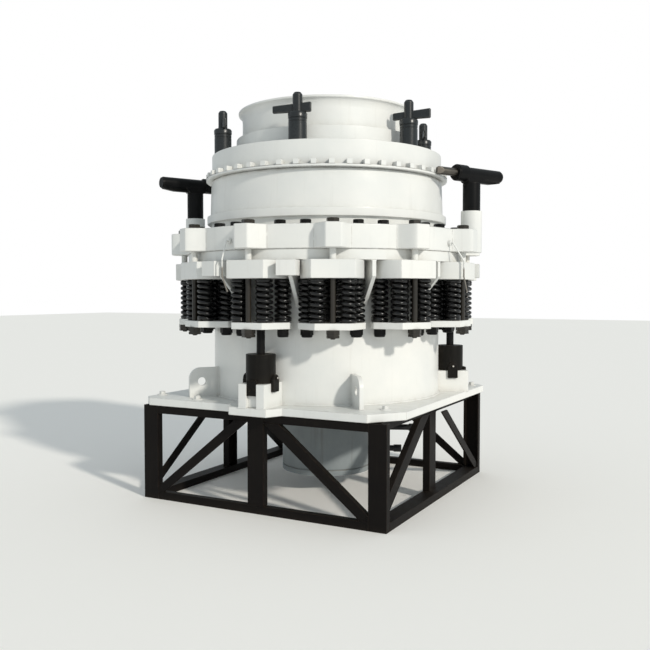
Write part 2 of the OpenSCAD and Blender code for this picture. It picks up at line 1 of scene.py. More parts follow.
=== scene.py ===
"""Spring cone crusher on a channel-steel stand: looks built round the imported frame."""

import json
import math

import bmesh
import bpy
from mathutils import Matrix, Vector


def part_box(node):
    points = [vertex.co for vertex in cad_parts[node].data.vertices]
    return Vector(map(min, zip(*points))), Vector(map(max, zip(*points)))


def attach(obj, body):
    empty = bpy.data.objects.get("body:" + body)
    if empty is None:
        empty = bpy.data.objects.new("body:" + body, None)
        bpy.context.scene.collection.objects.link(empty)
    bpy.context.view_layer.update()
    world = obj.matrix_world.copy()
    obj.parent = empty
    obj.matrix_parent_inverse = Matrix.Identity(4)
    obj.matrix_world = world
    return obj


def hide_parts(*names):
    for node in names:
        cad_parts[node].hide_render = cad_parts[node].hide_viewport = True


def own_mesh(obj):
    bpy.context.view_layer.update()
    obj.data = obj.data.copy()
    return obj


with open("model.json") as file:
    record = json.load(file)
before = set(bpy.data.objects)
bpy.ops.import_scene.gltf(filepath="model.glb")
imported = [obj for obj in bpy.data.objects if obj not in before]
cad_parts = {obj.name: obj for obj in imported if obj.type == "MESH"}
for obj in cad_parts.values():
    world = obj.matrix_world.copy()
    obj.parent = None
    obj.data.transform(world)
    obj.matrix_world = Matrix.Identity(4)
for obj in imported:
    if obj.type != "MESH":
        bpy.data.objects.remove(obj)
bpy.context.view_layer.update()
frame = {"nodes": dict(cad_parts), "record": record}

# ---------------------------------------------------------------- stand
# The stand is channel steel, cut, welded and painted black by hand.
# The paint has a brown tone, thin at the edges, with dust on its flats.


def add(tree, kind, values=None, links=None, **settings):
    """A node with its settings, its socket values and its links."""
    node = tree.nodes.new(kind)
    for key, value in settings.items():
        setattr(node, key, value)
    for key, value in (values or {}).items():
        node.inputs[key].default_value = value
    for key, source in (links or {}).items():
        tree.links.new(source, node.inputs[key])
    return node


def effect(name, inputs, outputs):
    """An empty shader node group with named sockets."""
    tree = bpy.data.node_groups.new(name, "ShaderNodeTree")
    for kind, label, value in inputs:
        socket = tree.interface.new_socket(label, in_out="INPUT", socket_type=kind)
        socket.default_value = value
    for kind, label in outputs:
        tree.interface.new_socket(label, in_out="OUTPUT", socket_type=kind)
    return tree, tree.nodes.new("NodeGroupInput"), tree.nodes.new("NodeGroupOutput")


def product(tree, first, second):
    """The socket with one value times another."""
    return add(tree, "ShaderNodeMath", {}, {0: first, 1: second}, operation="MULTIPLY").outputs[0]


COLOUR, VALUE = "NodeSocketColor", "NodeSocketFloat"


def blotch_effect():
    """Paint that varies a little in tone, as brushed or sprayed coats do."""
    tree, given, out = effect(
        "paint_tone",
        [(COLOUR, "Tone A", (1, 1, 1, 1)), (COLOUR, "Tone B", (1, 1, 1, 1)), (VALUE, "Size", 2.0)],
        [(COLOUR, "Color")],
    )
    where = add(tree, "ShaderNodeTexCoord")
    noise = add(tree, "ShaderNodeTexNoise", {"Detail": 5.0, "Roughness": 0.62},
                {"Vector": where.outputs["Object"], "Scale": given.outputs["Size"]})
    spread = add(tree, "ShaderNodeMapRange", {"From Min": 0.35, "From Max": 0.68},
                 {"Value": noise.outputs["Fac"]})
    mix = add(tree, "ShaderNodeMix", {}, {0: spread.outputs[0]}, data_type="RGBA")
    tree.links.new(given.outputs["Tone A"], mix.inputs["A"])
    tree.links.new(given.outputs["Tone B"], mix.inputs["B"])
    tree.links.new(mix.outputs["Result"], out.inputs["Color"])
    return tree


def grime_and_shade_effect():
    """Dirt colour mask: painted shade in occluded corners, dust on flats, faint runs down walls.
    """
    tree, given, out = effect(
        "grime_and_shade",
        [(VALUE, "Corners", 0.5), (VALUE, "Dust", 0.2), (VALUE, "Runs", 0.2),
         (VALUE, "Reach", 0.05)],
        [(VALUE, "Mask")],
    )
    where = add(tree, "ShaderNodeTexCoord")
    # The occlusion node finds where shade falls; on light paints the dirt colour laid there is
    # painted shade.
    hollow = add(tree, "ShaderNodeAmbientOcclusion", {}, {"Distance": given.outputs["Reach"]},
                 samples=6)
    corner = add(tree, "ShaderNodeMapRange",
                 {"From Min": 0.95, "From Max": 0.35, "To Min": 0.0, "To Max": 1.0},
                 {"Value": hollow.outputs["AO"]})
    patch = add(tree, "ShaderNodeTexNoise", {"Scale": 14.0, "Detail": 6.0, "Roughness": 0.7},
                {"Vector": where.outputs["Object"]})
    patch_mask = add(tree, "ShaderNodeMapRange", {"From Min": 0.3, "From Max": 0.62},
                     {"Value": patch.outputs["Fac"]})
    corners = product(tree, product(tree, corner.outputs[0], patch_mask.outputs[0]),
                      given.outputs["Corners"])
    lie = add(tree, "ShaderNodeSeparateXYZ", {}, {"Vector": where.outputs["Normal"]})
    flat = add(tree, "ShaderNodeMapRange", {"From Min": 0.55, "From Max": 0.98},
               {"Value": lie.outputs["Z"]})
    dust = product(tree, product(tree, flat.outputs[0], patch_mask.outputs[0]),
                   given.outputs["Dust"])
    drawn = add(tree, "ShaderNodeMapping", {"Scale": (11.0, 11.0, 0.7)},
                {"Vector": where.outputs["Object"]})
    run = add(tree, "ShaderNodeTexNoise", {"Scale": 1.6, "Detail": 6.0, "Roughness": 0.66},
              {"Vector": drawn.outputs["Vector"]})
    run_mask = add(tree, "ShaderNodeMapRange", {"From Min": 0.56, "From Max": 0.74},
                   {"Value": run.outputs["Fac"]})
    upright = add(tree, "ShaderNodeMath", {1: 0.5}, {0: lie.outputs["Z"]}, operation="LESS_THAN")
    runs = product(tree, product(tree, run_mask.outputs[0], upright.outputs[0]),
                   given.outputs["Runs"])
    first = add(tree, "ShaderNodeMath", {}, {0: corners, 1: dust}, operation="ADD")
    total = add(tree, "ShaderNodeMath", {}, {0: first.outputs[0], 1: runs},
                operation="ADD", use_clamp=True)
    tree.links.new(total.outputs[0], out.inputs["Mask"])
    return tree


def edge_effect():
    """Where rounded edges are rubbed: the mesh's own edge attribute, broken up."""
    tree, given, out = effect("edge_rub", [(VALUE, "Amount", 0.5), (VALUE, "Break", 30.0)],
                              [(VALUE, "Mask")])
    where = add(tree, "ShaderNodeTexCoord")
    edge = add(tree, "ShaderNodeAttribute", attribute_name="edge")
    noise = add(tree, "ShaderNodeTexNoise", {"Detail": 4.0, "Roughness": 0.6},
                {"Vector": where.outputs["Object"], "Scale": given.outputs["Break"]})
    hard = add(tree, "ShaderNodeMapRange", {"From Min": 0.36, "From Max": 0.48},
               {"Value": product(tree, edge.outputs["Fac"], noise.outputs["Fac"])})
    amount = add(tree, "ShaderNodeMath", {}, {0: hard.outputs[0], 1: given.outputs["Amount"]},
                 operation="MULTIPLY", use_clamp=True)
    tree.links.new(amount.outputs[0], out.inputs["Mask"])
    return tree


def grain_effect():
    """Fine surface height: the orange peel of paint, or a casting's sand skin."""
    tree, given, out = effect(
        "surface_grain", [(VALUE, "Fine", 400.0), (VALUE, "Coarse", 30.0), (VALUE, "Share", 0.3)],
        [(VALUE, "Height")],
    )
    where = add(tree, "ShaderNodeTexCoord")
    fine = add(tree, "ShaderNodeTexNoise", {"Detail": 3.0, "Roughness": 0.55},
               {"Vector": where.outputs["Object"], "Scale": given.outputs["Fine"]})
    coarse = add(tree, "ShaderNodeTexNoise", {"Detail": 4.0, "Roughness": 0.6},
                 {"Vector": where.outputs["Object"], "Scale": given.outputs["Coarse"]})
    mix = add(tree, "ShaderNodeMix", {}, {0: given.outputs["Share"]}, data_type="FLOAT")
    tree.links.new(fine.outputs["Fac"], mix.inputs["A"])
    tree.links.new(coarse.outputs["Fac"], mix.inputs["B"])
    tree.links.new(mix.outputs["Result"], out.inputs["Height"])
    return tree


paint_tone, grime_and_shade, edge_rub, surface_grain = (
    blotch_effect(), grime_and_shade_effect(), edge_effect(), grain_effect())


def placed(tree, group, **values):
    """A group node in a material, with its own values."""
    node = tree.nodes.new("ShaderNodeGroup")
    node.node_tree = group
    for key, value in values.items():
        node.inputs[key.replace("_", " ")].default_value = value
    return node


def enamel(name, tone_a, tone_b, dirt_and_shade, bare, rough, corners=0.5, dust=0.2, runs=0.2, rub=0.5,
           size=2.0, fine=260.0, coarse=24.0, share=0.35, height=0.0012, coat=0.0, reach=0.05,
           bare_metallic=0.6, shine=0.5):
    """Painted steel: two paint tones, dirt and painted shade over them, rubbed edges, and the
    coat's own grain.
    """
    paint = bpy.data.materials.new(name)
    paint.use_nodes = True
    tree = paint.node_tree
    shader = tree.nodes["Principled BSDF"]
    shader.inputs["Coat Weight"].default_value = coat
    shader.inputs["Specular IOR Level"].default_value = shine
    shader.inputs["Coat Roughness"].default_value = 0.12
    tone = placed(tree, paint_tone, Tone_A=tone_a, Tone_B=tone_b, Size=size)
    dirt_and_shade_mask = placed(tree, grime_and_shade, Corners=corners, Dust=dust, Runs=runs, Reach=reach)
    rubbed = placed(tree, edge_rub, Amount=rub, Break=34.0)
    grain = placed(tree, surface_grain, Fine=fine, Coarse=coarse, Share=share)
    # The mask lays the dirt colour over the paint tones: dust and runs, and painted shade in
    # corners.
    with_dirt_and_shade = add(tree, "ShaderNodeMix", {"B": dirt_and_shade}, {0: dirt_and_shade_mask.outputs["Mask"]},
                    data_type="RGBA")
    tree.links.new(tone.outputs["Color"], with_dirt_and_shade.inputs["A"])
    with_rub = add(tree, "ShaderNodeMix", {"B": bare}, {0: rubbed.outputs["Mask"]},
                   data_type="RGBA")
    tree.links.new(with_dirt_and_shade.outputs["Result"], with_rub.inputs["A"])
    tree.links.new(with_rub.outputs["Result"], shader.inputs["Base Color"])
    dull = add(tree, "ShaderNodeMapRange", {"To Min": rough, "To Max": min(rough + 0.4, 0.95)},
               {"Value": dirt_and_shade_mask.outputs["Mask"]})
    vary = add(tree, "ShaderNodeMath", {1: 0.12, 2: -0.06}, {0: grain.outputs["Height"]},
               operation="MULTIPLY_ADD")
    roughness = add(tree, "ShaderNodeMath", {}, {0: dull.outputs[0], 1: vary.outputs[0]},
                    operation="ADD", use_clamp=True)
    tree.links.new(roughness.outputs[0], shader.inputs["Roughness"])
    metal = add(tree, "ShaderNodeMath", {1: bare_metallic}, {0: rubbed.outputs["Mask"]},
                operation="MULTIPLY")
    tree.links.new(metal.outputs[0], shader.inputs["Metallic"])
    bump = add(tree, "ShaderNodeBump", {"Strength": 0.6, "Distance": height},
               {"Height": grain.outputs["Height"]})
    tree.links.new(bump.outputs["Normal"], shader.inputs["Normal"])
    return paint


BODY_OF = {node: body for body, nodes in frame["record"]["behaviour"]["bodies"].items()
           for node in nodes}


def shade_smooth(bm, below):
    """Smooth faces, with a hard line along each edge that turns by this many degrees or more."""
    for f in bm.faces:
        f.smooth = True
    for e in bm.edges:
        e.smooth = len(e.link_faces) != 2 or e.calc_face_angle(0.0) < math.radians(below)


def rounded_mesh(bm, width, steps, sharp_from=28.0):
    """Rounds the sharp edges of a mesh and marks where they are with the edge attribute."""
    layer = bm.verts.layers.float.get("edge") or bm.verts.layers.float.new("edge")
    sharp = [e for e in bm.edges
             if len(e.link_faces) == 2 and e.calc_face_angle(0.0) > math.radians(sharp_from)]
    if sharp:
        made = bmesh.ops.bevel(bm, geom=sharp, offset=width, segments=steps, profile=0.5,
                               affect="EDGES", clamp_overlap=False)
        new_faces = set(made["faces"])
        for v in {v for f in new_faces for v in f.verts}:
            v[layer] = 1.0 if all(f in new_faces for f in v.link_faces) else 0.0
    shade_smooth(bm, 40)


def finished(name, bm, material, body):
    """A bmesh made into a piece that rides on a body, with normals weighted by face size."""
    mesh = bpy.data.meshes.new(name)
    bm.to_mesh(mesh)
    bm.free()
    mesh.materials.append(material)
    piece = bpy.data.objects.new(name, mesh)
    bpy.context.scene.collection.objects.link(piece)
    weigh = piece.modifiers.new("weigh", "WEIGHTED_NORMAL")
    weigh.keep_sharp = True
    graph = bpy.context.evaluated_depsgraph_get()
    plain = bpy.data.meshes.new_from_object(piece.evaluated_get(graph), depsgraph=graph)
    piece.modifiers.clear()
    piece.data = plain
    plain.name = name
    bpy.data.meshes.remove(mesh)
    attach(piece, body)
    return piece


def dressed(node, material, width=0.003, steps=2):
    """A copy of a CAD node that stands for it: corners merged, flats joined, edges rounded."""
    same_place, same_plane = 2e-5, math.radians(0.4)
    bm = bmesh.new()
    bm.from_mesh(frame["nodes"][node].data)
    bmesh.ops.remove_doubles(bm, verts=bm.verts, dist=same_place)
    bmesh.ops.dissolve_limit(bm, angle_limit=same_plane, verts=bm.verts, edges=bm.edges)
    rounded_mesh(bm, width, steps)
    piece = finished(node + "_piece", bm, material, BODY_OF[node])
    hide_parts(node)
    return piece


stand_paint = enamel(
    "stand_paint", (0.0085, 0.007, 0.006, 1), (0.006, 0.005, 0.005, 1), (0.050, 0.040, 0.030, 1),
    (0.075, 0.048, 0.03, 1), 0.48, corners=0.30, dust=0.22, runs=0.10, rub=0.45, size=3.0,
    fine=190.0, coarse=16.0, share=0.45, height=0.0016, shine=0.08)

for node in ("stand_corner_posts", "stand_middle_posts", "stand_top_rails",
             "stand_bottom_rails", "stand_braces"):
    dressed(node, stand_paint, 0.003)

# ---------------------------------------------------------- stand welds
# Fillet welds where the rails, posts and braces of the stand meet,
# laid by hand in short ripples and painted over with the steel.


def node_tree(name, inputs):
    """An empty Geometry Nodes tree with a Geometry in and out and named inputs."""
    tree = bpy.data.node_groups.new(name, "GeometryNodeTree")
    tree.interface.new_socket("Geometry", in_out="INPUT", socket_type="NodeSocketGeometry")
    for kind, label, value in inputs:
        socket = tree.interface.new_socket(label, in_out="INPUT", socket_type=kind)
        if value is not None:
            socket.default_value = value
    tree.interface.new_socket("Geometry", in_out="OUTPUT", socket_type="NodeSocketGeometry")
    return tree, tree.nodes.new("NodeGroupInput"), tree.nodes.new("NodeGroupOutput")


def weld_tree():
    """A weld bead along each edge line: a round section that swells with every ripple."""
    tree, given, out = node_tree("weld_beads", [
        ("NodeSocketFloat", "Bead", 0.006), ("NodeSocketFloat", "Ripple", 0.01),
        ("NodeSocketMaterial", "Material", None)])
    line = add(tree, "GeometryNodeMeshToCurve", {}, {"Mesh": given.outputs["Geometry"]})
    fine = add(tree, "GeometryNodeResampleCurve", {},
               {"Curve": line.outputs[0], "Length": given.outputs["Ripple"]}, mode="LENGTH")
    count = add(tree, "GeometryNodeInputIndex")
    ripple = add(tree, "ShaderNodeMath", {1: 2.0}, {0: count.outputs[0]}, operation="MODULO")
    here = add(tree, "GeometryNodeInputPosition")
    uneven = add(tree, "ShaderNodeTexNoise", {"Scale": 60.0, "Detail": 2.0},
                 {"Vector": here.outputs[0]})
    swell = add(tree, "ShaderNodeMapRange", {"To Min": 0.72, "To Max": 1.05},
                {"Value": uneven.outputs["Fac"]})
    size = add(tree, "ShaderNodeMath", {1: 0.14}, {0: ripple.outputs[0], 2: swell.outputs[0]},
               operation="MULTIPLY_ADD")
    section = add(tree, "GeometryNodeCurvePrimitiveCircle", {"Resolution": 6},
                  {"Radius": given.outputs["Bead"]}, mode="RADIUS")
    bead = add(tree, "GeometryNodeCurveToMesh", {"Fill Caps": True},
               {"Curve": fine.outputs[0], "Profile Curve": section.outputs["Curve"],
                "Scale": size.outputs[0]})
    smooth = add(tree, "GeometryNodeSetShadeSmooth", {"Shade Smooth": True},
                 {"Geometry": bead.outputs[0]})
    real = add(tree, "GeometryNodeRealizeInstances", {}, {"Geometry": smooth.outputs[0]})
    coated = add(tree, "GeometryNodeSetMaterial", {},
                 {"Geometry": real.outputs[0], "Material": given.outputs["Material"]})
    tree.links.new(coated.outputs[0], out.inputs[0])
    return tree


def grown(name, tree, places, inputs, body, edges=()):
    """Runs a tree on points, each (x, y, z, turn), and keeps the result as a plain mesh."""
    points = bpy.data.meshes.new(name + "_points")
    points.from_pydata([p[:3] for p in places], edges, [])
    turns = points.attributes.new("turn", "FLOAT", "POINT")
    turns.data.foreach_set("value", [p[3] if len(p) > 3 else 0.0 for p in places])
    piece = bpy.data.objects.new(name, points)
    bpy.context.scene.collection.objects.link(piece)
    maker = piece.modifiers.new("maker", "NODES")
    maker.node_group = tree
    for item in tree.interface.items_tree:
        if item.in_out == "INPUT" and item.name in inputs:
            maker[item.identifier] = inputs[item.name]
    graph = bpy.context.evaluated_depsgraph_get()
    mesh = bpy.data.meshes.new_from_object(piece.evaluated_get(graph), depsgraph=graph)
    piece.modifiers.clear()
    piece.data = mesh
    mesh.name = name
    bpy.data.meshes.remove(points)
    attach(piece, body)
    return piece


def welded(name, lines, bead, material, body):
    """Weld beads along lines, each a list of points."""
    places, edges = [], []
    for line in lines:
        edges += [(len(places) + i, len(places) + i + 1) for i in range(len(line) - 1)]
        places += line
    return grown(name, weld_beads, places,
                 {"Bead": bead, "Ripple": bead * 1.2, "Material": material}, body, edges)


weld_beads = weld_tree()
X, Y, Z = 0, 1, 2


def span(node, axis):
    """A CAD node's lowest and highest place along an axis, to a tenth of a millimetre."""
    return [round(corner[axis], 4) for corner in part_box(node)]


POST_LEFT, POST_RIGHT = span("stand_corner_posts", X)
STAND_X, HALF_W = (POST_LEFT + POST_RIGHT) / 2, (POST_RIGHT - POST_LEFT) / 2
HALF_D = span("stand_corner_posts", Y)[1]
SIDE_FACE = span("stand_middle_posts", X)[1] - STAND_X
RAIL = span("stand_bottom_rails", Z)[1]
RAIL_TOP, STAND_TOP = span("stand_top_rails", Z)
POST, POST_DEEP = 0.063, 0.053
CHANNEL_BRACE, FLAT_BRACE, SIDE_BRACE = 0.066, 0.060, 0.088
STAND_BEAD, END_GAP = 0.0055, 0.004


def face_welds(run, near, put):
    """The weld lines of a face's rails, posts and nearer braces, placed in the face by put."""
    lines = [[(-POST, RAIL), (POST, RAIL)]]
    for s in (-1, 1):
        lines += [[(s * run, END_GAP), (s * run, RAIL)],
                  [(s * run, RAIL_TOP), (s * run, STAND_TOP - END_GAP)],
                  [(s * POST, RAIL_TOP), (s * POST, STAND_TOP - END_GAP)]]
    for s, brace in near:
        slope = math.hypot(run, RAIL_TOP - RAIL)
        wide, tall = brace * slope / (RAIL_TOP - RAIL), brace * slope / run
        lines += [[(s * POST, RAIL_TOP), (s * (POST + wide), RAIL_TOP)],
                  [(s * (run - wide / 2), RAIL), (s * run, RAIL)],
                  [(s * run, RAIL), (s * run, RAIL + tall / 2)]]
    return [[put(x, z) for x, z in line] for line in lines]


stand_lines = []
for s in (-1, 1):
    stand_lines += face_welds(HALF_W - 2 * POST, ((1, CHANNEL_BRACE), (-1, FLAT_BRACE)),
                              lambda x, z: (STAND_X - s * x, s * HALF_D, z))
    stand_lines += face_welds(HALF_D - POST_DEEP, ((-1, SIDE_BRACE),),
                              lambda y, z: (STAND_X + s * SIDE_FACE, s * y, z))
welded("stand_welds", stand_lines, STAND_BEAD, stand_paint, "frame")

# ----------------------------------------------------------- base plate
# A flame-cut steel plate with cut corners, welded under the main frame.
# White paint, with dust on its top, and runs and painted shade in a dirt colour along its edge.

# The white paint's darker dirt colour is laid into corners and crevices by the occlusion mask:
# painted shade.
white_paint = enamel(
    "white_paint", (0.79, 0.79, 0.765, 1), (0.70, 0.715, 0.705, 1), (0.36, 0.33, 0.28, 1),
    (0.36, 0.33, 0.29, 1), 0.34, corners=0.38, dust=0.16, runs=0.12, rub=0.28, size=1.4,
    fine=150.0, coarse=11.0, share=0.6, height=0.0016, coat=0.08, reach=0.06, shine=0.35)
dressed("base_plate", white_paint, 0.006, steps=3)


def hex_head(bm, corners, low, high, chamfer=0.30):
    """A hexagon head or nut, sharp or with its top corners turned off in a cone."""
    segments, crown_share = 24, 0.97
    apothem = corners / 2 * math.cos(math.radians(30))
    crown = apothem * crown_share
    layer = bm.verts.layers.float.get("edge") or bm.verts.layers.float.new("edge")
    rings = []
    for level in range(3):
        ring = []
        for i in range(segments):
            a = 2 * math.pi * i / segments
            out = apothem / math.cos((a + math.pi / 6) % (math.pi / 3) - math.pi / 6)
            r = crown if level == 2 else out
            z = (low, high - max(0.0, out - crown) * chamfer * 2, high)[level]
            v = bm.verts.new((r * math.cos(a), r * math.sin(a), z))
            v[layer] = 0.8 if level else 0.0
            ring.append(v)
        rings.append(ring)
    for a, b in zip(rings, rings[1:]):
        for i in range(segments):
            j = (i + 1) % segments
            bm.faces.new((a[i], a[j], b[j], b[i]))
    bm.faces.new(rings[-1])
    bm.faces.new(list(reversed(rings[0])))


def lathe(bm, profile, segments=32):
    """A turned shape from (radius, height) points; it closes on the axis at both ends."""
    rings = []
    for r, z in profile:
        if r < 1e-6:
            rings.append([bm.verts.new((0, 0, z))])
        else:
            rings.append([bm.verts.new((r * math.cos(2 * math.pi * i / segments),
                                        r * math.sin(2 * math.pi * i / segments), z))
                          for i in range(segments)])
    for a, b in zip(rings, rings[1:]):
        for i in range(segments):
            j = (i + 1) % segments
            if len(a) == 1 and len(b) > 1:
                bm.faces.new((a[0], b[i], b[j]))
            elif len(b) == 1 and len(a) > 1:
                bm.faces.new((a[i], a[j], b[0]))
            elif len(a) > 1:
                bm.faces.new((a[i], a[j], b[j], b[i]))


def copies_tree():
    """A copy of one pattern piece at each point, turned by the point's own angle."""
    tree, given, out = node_tree("pattern_copies", [
        ("NodeSocketObject", "Pattern", None), ("NodeSocketMaterial", "Material", None)])
    pattern = add(tree, "GeometryNodeObjectInfo", {}, {"Object": given.outputs["Pattern"]})
    turn = add(tree, "GeometryNodeInputNamedAttribute", {"Name": "turn"}, data_type="FLOAT")
    angle = add(tree, "ShaderNodeCombineXYZ", {}, {"Z": turn.outputs[0]})
    copies = add(tree, "GeometryNodeInstanceOnPoints", {},
                 {"Points": given.outputs["Geometry"], "Instance": pattern.outputs["Geometry"],
                  "Rotation": angle.outputs[0]})
    real = add(tree, "GeometryNodeRealizeInstances", {}, {"Geometry": copies.outputs[0]})
    coated = add(tree, "GeometryNodeSetMaterial", {},
                 {"Geometry": real.outputs[0], "Material": given.outputs["Material"]})
    tree.links.new(coated.outputs[0], out.inputs[0])
    return tree


pattern_copies = copies_tree()


def copied(name, bm, places, material, body, node=None):
    """Copies of one pattern at all its places, kept as one plain mesh."""
    bmesh.ops.recalc_face_normals(bm, faces=bm.faces)
    shade_smooth(bm, 38)
    mesh = bpy.data.meshes.new(name + "_pattern")
    bm.to_mesh(mesh)
    bm.free()
    pattern = bpy.data.objects.new(name + "_pattern", mesh)
    bpy.context.scene.collection.objects.link(pattern)
    piece = grown(name, pattern_copies, places, {"Pattern": pattern, "Material": material},
                  body)
    bpy.data.objects.remove(pattern)
    bpy.data.meshes.remove(mesh)
    if node:
        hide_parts(node)
    return piece


PLATE_LEFT, PLATE_RIGHT = span("base_plate", X)
PLATE_W, PLATE_D = PLATE_RIGHT - PLATE_LEFT, 2 * span("base_plate", Y)[1]
PLATE_TOP, PLATE_BOLT_TOP = span("plate_bolts", Z)
PLATE_WASHER = PLATE_TOP + 0.005
PLATE_BOLTS = ((-0.482, -0.412), (-0.284, -0.46), (0.412, -0.37), (0.45, 0.438), (-0.43, 0.43))
plate_bolt = bmesh.new()
lathe(plate_bolt, [(0, PLATE_TOP), (0.037, PLATE_TOP), (0.037, PLATE_WASHER - 0.0015),
                   (0.0355, PLATE_WASHER), (0, PLATE_WASHER)])
hex_head(plate_bolt, 0.044, PLATE_WASHER, PLATE_BOLT_TOP)
copied("plate_bolts_piece", plate_bolt,
       [(x * PLATE_W, y * PLATE_D, 0, 0.3 + i) for i, (x, y) in enumerate(PLATE_BOLTS)],
       white_paint, "frame", "plate_bolts")

# ----------------------------------------------------------- main frame
# A cast steel shell with a hub hung in its middle by arms, a flange
# on ribs, and lifting lugs. The hub has a greyer coat, painted darker
# still as painted shade.

# Both hub tones are set darker than the grey coat to stand for the shade the hub sits in: painted
# shade.
hub_paint = enamel(
    "hub_paint", (0.30, 0.33, 0.34, 1), (0.22, 0.25, 0.262, 1), (0.15, 0.13, 0.10, 1),
    (0.25, 0.23, 0.21, 1), 0.42, corners=0.55, dust=0.2, runs=0.45, rub=0.35, size=2.2,
    fine=150.0, coarse=12.0, share=0.55, height=0.0022, shine=0.3)
dressed("frame_hub", hub_paint, 0.003)
for node, width in (("frame_shell", 0.004), ("frame_arms", 0.006), ("frame_flange", 0.005),
                    ("frame_ribs", 0.003), ("frame_blocks", 0.004),
                    ("upper_spring_segments", 0.006), ("bolt_sleeves", 0.0012),
                    ("lifting_lugs", 0.003), ("countershaft_box", 0.005)):
    dressed(node, white_paint, width)

SHELL_R, FLANGE_R = span("frame_shell", X)[1], span("frame_flange", X)[1]
LUG_FOOT, LUG_TOP = 1.064, span("lifting_lugs", Z)[1]
RIB_LOW, RIB_TOP = span("frame_ribs", Z)
LUGS, JACKS, GROUP_STEP = (-40, 40, 140, 220), (0.85, 120.85, 240.85), 30
GROUPS = [GROUP_STEP * i for i in range(12)]
SADDLE_OUT, SADDLE_HALF, SADDLE_SLOT = 1.080, 0.099, 0.038
SHELL_BEAD, FRAME_BEAD = 0.009, 0.0055


def round_axis(angle, radius, z, turn=None):
    """A place round the axis, its angle in degrees from the front towards +X."""
    a = math.radians(angle)
    return (radius * math.sin(a), -radius * math.cos(a), z, a if turn is None else turn)


def circle(radius, z, steps):
    """Points all the way round the axis."""
    return [round_axis(360 * i / steps, radius, z)[:3] for i in range(steps + 1)]


def beside(angle, side, radius, z):
    """A place at a radius along an angle's line, and to one side of that line."""
    a = math.radians(angle)
    return (radius * math.sin(a) + side * math.cos(a), side * math.sin(a) - radius * math.cos(a),
            z)


welded("shell_weld", [circle(SHELL_R + 0.002, PLATE_TOP + 0.002, 120)], SHELL_BEAD, white_paint,
       "frame")
frame_lines = []
for lug in LUGS:
    for s in (-0.015, 0.015):
        frame_lines += [[beside(lug, s, r, PLATE_TOP) for r in (SHELL_R + 0.006, LUG_FOOT)],
                        [beside(lug, s, SHELL_R + 0.001, z) for z in (PLATE_TOP, LUG_TOP)]]
for rib in [group + GROUP_STEP / 2 for group in GROUPS]:
    for s in (-0.014, 0.014):
        frame_lines += [[beside(rib, s, SHELL_R + 0.001, z)
                         for z in (RIB_LOW + 0.001, RIB_TOP - 0.001)],
                        [beside(rib, s, r, RIB_TOP - 0.001)
                         for r in (SHELL_R + 0.002, FLANGE_R - 0.004)]]
for jack in JACKS:
    frame_lines += [[beside(jack, s * SADDLE_HALF, r, PLATE_TOP)
                     for r in (SHELL_R + 0.010, SADDLE_OUT - 0.002)] for s in (-1, 1)]
    frame_lines += [[beside(jack, s * side, SADDLE_OUT, PLATE_TOP)
                     for side in (SADDLE_SLOT, SADDLE_HALF)] for s in (-1, 1)]
welded("frame_welds", frame_lines, FRAME_BEAD, white_paint, "frame")

pipe_paint = enamel(
    "pipe_paint", (0.016, 0.017, 0.018, 1), (0.03, 0.032, 0.034, 1), (0.10, 0.08, 0.06, 1),
    (0.16, 0.15, 0.14, 1), 0.40, corners=0.3, dust=0.3, runs=0.1, rub=0.5, size=6.0, shine=0.4)
black_paint = enamel(
    "black_paint", (0.0045, 0.0047, 0.005, 1), (0.0065, 0.0065, 0.007, 1),
    (0.050, 0.042, 0.033, 1), (0.06, 0.056, 0.052, 1), 0.36, corners=0.25, dust=0.05,
    runs=0.05, rub=0.5, size=8.0, fine=300.0, coarse=40.0, share=0.4, height=0.0010,
    shine=0.12)
dressed("oil_pipes", pipe_paint, 0.003)

# ------------------------------------------------- mantle, feed and liner
# Manganese steel castings that crush the rock, and the plate that
# spreads it: a rough sand skin, rusty in its hollows, with no paint.

manganese = enamel(
    "manganese_steel", (0.10, 0.095, 0.09, 1), (0.16, 0.145, 0.13, 1), (0.26, 0.17, 0.10, 1),
    (0.4, 0.39, 0.38, 1), 0.55, corners=0.6, dust=0.35, runs=0.3, rub=0.8, size=4.0,
    fine=90.0, coarse=18.0, share=0.5, height=0.004)
dressed("mantle", manganese, 0.006)
dressed("feed_plate", manganese, 0.004)
dressed("bowl_liner", manganese, 0.006)

# ------------------------------------------------------- clearing jacks
# Hydraulic jacks on welded saddles, held by straps with pinned heads.
# Their dark rods push the adjusting ring up.

bare_steel = enamel(
    "bare_steel", (0.13, 0.12, 0.105, 1), (0.10, 0.09, 0.08, 1), (0.10, 0.075, 0.05, 1),
    (0.5, 0.48, 0.45, 1), 0.34, corners=0.4, dust=0.1, runs=0.35, rub=0.5, size=9.0,
    fine=420.0, coarse=60.0, share=0.3, height=0.0005)
metallic = bare_steel.node_tree.nodes["Principled BSDF"].inputs["Metallic"]
for link in list(metallic.links):
    bare_steel.node_tree.links.remove(link)
metallic.default_value = 0.9
jack_paint = enamel(
    "jack_paint", (0.009, 0.008, 0.0065, 1), (0.006, 0.0055, 0.005, 1), (0.05, 0.042, 0.032, 1),
    (0.10, 0.08, 0.06, 1), 0.44, corners=0.4, dust=0.2, runs=0.1, rub=0.5, size=8.0,
    fine=280.0, coarse=36.0, share=0.4, height=0.0010, shine=0.12)
dressed("jack_saddles", white_paint, 0.004)
dressed("jack_cylinders", jack_paint, 0.003)
dressed("jack_straps", jack_paint, 0.0025)
dressed("jack_rods", black_paint, 0.001)
dressed("countershaft", bare_steel, 0.003)

